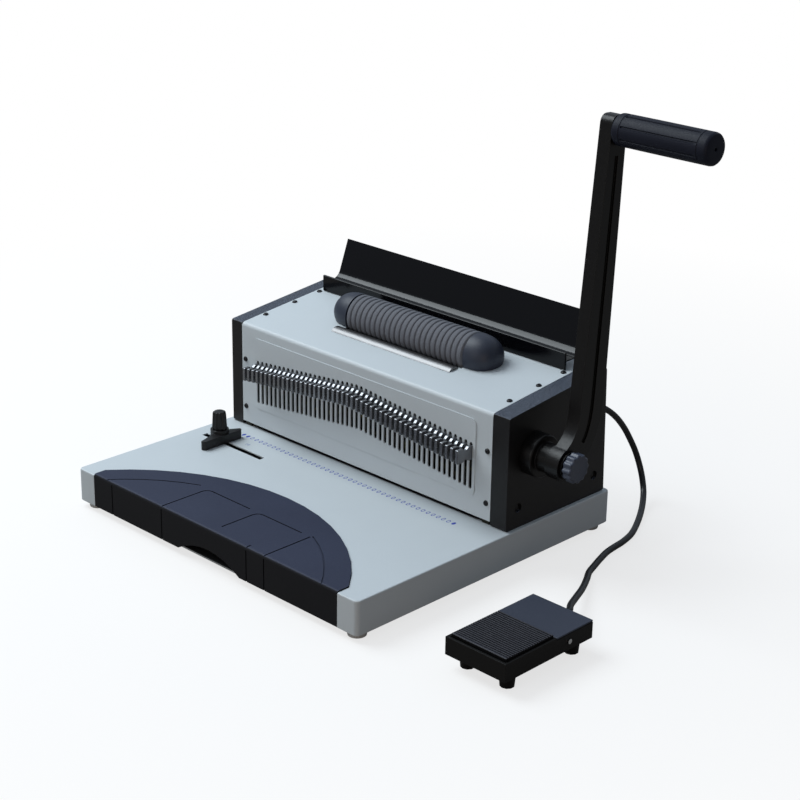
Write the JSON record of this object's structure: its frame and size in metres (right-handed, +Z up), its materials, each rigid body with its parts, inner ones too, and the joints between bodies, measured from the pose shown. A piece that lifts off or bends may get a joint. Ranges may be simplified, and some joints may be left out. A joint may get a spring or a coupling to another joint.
{
  "type": "coil binding machine",
  "caption": "Desktop punch and coil binding machine: steel base with armrest, slotted punching head with pull plates, side lever, coil tray, motor roller for inserting coils and a foot pedal.",
  "frame": {"origin": "middle of the whole outfit's box, pedal and lever included and cord left out, on the table under the feet", "axes": "+X to the operator's right along the punch row, +Y from the operator towards the rear, +Z up"},
  "size_m": [0.5268, 0.4084, 0.4114],
  "materials": {
    "pale_paint": "satin powder coat",
    "black_powder": "fine textured powder coat",
    "gloss_black": "gloss paint",
    "armrest_plastic": "fine matt grain",
    "black_plastic": "satin",
    "black_enamel": "satin",
    "grip_rubber": "matt",
    "knob_plastic": "satin",
    "grey_rubber": "matt",
    "foot_rubber": "matt",
    "belt_rubber": "matt",
    "chrome": "bright",
    "steel": "plain",
    "frame_steel": "zinc plated",
    "bronze_bush": "plain",
    "pedal_black": "satin",
    "pedal_slate": "satin",
    "cord_rubber": "satin"
  },
  "bodies": {
    "base": {"armrest": "armrest_plastic", "base_tray": "pale_paint", "bottom_plate": "steel", "coil_guard": "chrome", "coil_tray": "gloss_black", "cord_gland": "black_plastic", "die_plate": "steel", "drive_belt": "belt_rubber", "front_cover": "pale_paint", "front_left_foot": "foot_rubber", "front_right_foot": "foot_rubber", "left_roller_bush": "black_plastic", "left_roller_cap": "black_plastic", "left_shaft_bush": "bronze_bush", "left_side_frame": "frame_steel", "left_side_panel": "black_powder", "motor_plate": "steel", "pedal_box": "pedal_black", "pedal_cord": "cord_rubber", "pedal_pin": "steel", "pedal_rear_cover": "pedal_slate", "pedal_spring": "steel", "pedal_switch": "pedal_black", "power_inlet": "black_plastic", "punch_guide": "steel", "rear_cover": "black_powder", "rear_left_foot": "foot_rubber", "rear_right_foot": "foot_rubber", "return_spring": "steel", "right_roller_bush": "black_plastic", "right_roller_cap": "black_plastic", "right_shaft_bush": "bronze_bush", "right_side_frame": "frame_steel", "right_side_panel": "black_powder", "roller_motor": "steel", "shaft_hub": "steel", "stop_rail": "steel", "switch_case": "black_plastic"},
    "lever": {"lever_shaft": "chrome", "left_pinion": "steel", "right_pinion": "steel", "lever_arm": "black_enamel", "handle_grip": "grip_rubber", "grip_rod": "steel", "knob_washer": "chrome"},
    "arm_knob": {"lever_knob": "knob_plastic"},
    "ram": {"pressure_bar": "chrome"},
    "first_plate": {"pull_plate_first": "steel"},
    "second_plate": {"pull_plate_second": "steel"},
    "last_plate": {"pull_plate_last": "steel"},
    "roller": {"ribbed_sleeve": "grey_rubber", "roller_shaft": "steel"},
    "motor_rotor": {"motor_pulley": "steel"},
    "margin_stop": {"side_stop": "black_plastic", "stop_nut": "steel"},
    "margin_knob": {"stop_knob": "black_plastic"},
    "rocker": {"power_rocker": "black_plastic"},
    "pedal_plate": {"treadle": "pedal_black"},
    "drawer": {"chip_drawer": "black_plastic"}
  },
  "joints": [
    {"name": "lever_turn", "type": "hinge", "parent": "base", "child": "lever", "pos_m": [0.10085, 0.0469, 0.1068], "axis": [1, 0, 0], "range_deg": [0, 80], "stiffness_Nm_per_rad": 0.8, "springref_deg": -34.38},
    {"name": "arm_knob_turn", "type": "hinge", "parent": "lever", "child": "arm_knob", "pos_m": [0.16485, 0.0469, 0.1068], "axis": [1, 0, 0], "range_deg": [0, 180]},
    {"name": "ram_slide", "type": "slide", "parent": "base", "child": "ram", "axis": [0, 0, -1], "range_m": [0, 0.02234]},
    {"name": "first_plate_pull", "type": "slide", "parent": "ram", "child": "first_plate", "axis": [0, -1, 0], "range_m": [0, 0.008]},
    {"name": "second_plate_pull", "type": "slide", "parent": "ram", "child": "second_plate", "axis": [0, -1, 0], "range_m": [0, 0.008]},
    {"name": "last_plate_pull", "type": "slide", "parent": "ram", "child": "last_plate", "axis": [0, -1, 0], "range_m": [0, 0.008]},
    {"name": "roller_spin", "type": "hinge", "parent": "base", "child": "roller", "pos_m": [-0.06505, 0.0849, 0.16261], "axis": [1, 0, 0], "continuous": true},
    {"name": "motor_spin", "type": "hinge", "parent": "base", "child": "motor_rotor", "pos_m": [0.01835, 0.0849, 0.1128], "axis": [1, 0, 0], "continuous": true},
    {"name": "margin_stop_slide", "type": "slide", "parent": "base", "child": "margin_stop", "axis": [1, 0, 0], "range_m": [-0.017, 0.057]},
    {"name": "margin_knob_turn", "type": "hinge", "parent": "margin_stop", "child": "margin_knob", "pos_m": [-0.21915, -0.0316, 0.055], "axis": [0, 0, 1], "range_deg": [0, 180]},
    {"name": "rocker_tilt", "type": "hinge", "parent": "base", "child": "rocker", "pos_m": [-0.15415, 0.1488, 0.0628], "axis": [1, 0, 0], "range_deg": [0, 14]},
    {"name": "pedal_press", "type": "hinge", "parent": "base", "child": "pedal_plate", "pos_m": [0.22975, -0.071, 0.0206], "axis": [1, 0, 0], "range_deg": [0, 4.5], "stiffness_Nm_per_rad": 1, "springref_deg": -3.44},
    {"name": "drawer_slide", "type": "slide", "parent": "base", "child": "drawer", "axis": [-1, 0, 0], "range_m": [0, 0.25]}
  ],
  "couplings": [
    {"joint": "ram_slide", "follows": "lever_turn", "m_per_rad": 0.016},
    {"joint": "motor_spin", "follows": "roller_spin", "ratio": 1.5}
  ]
}
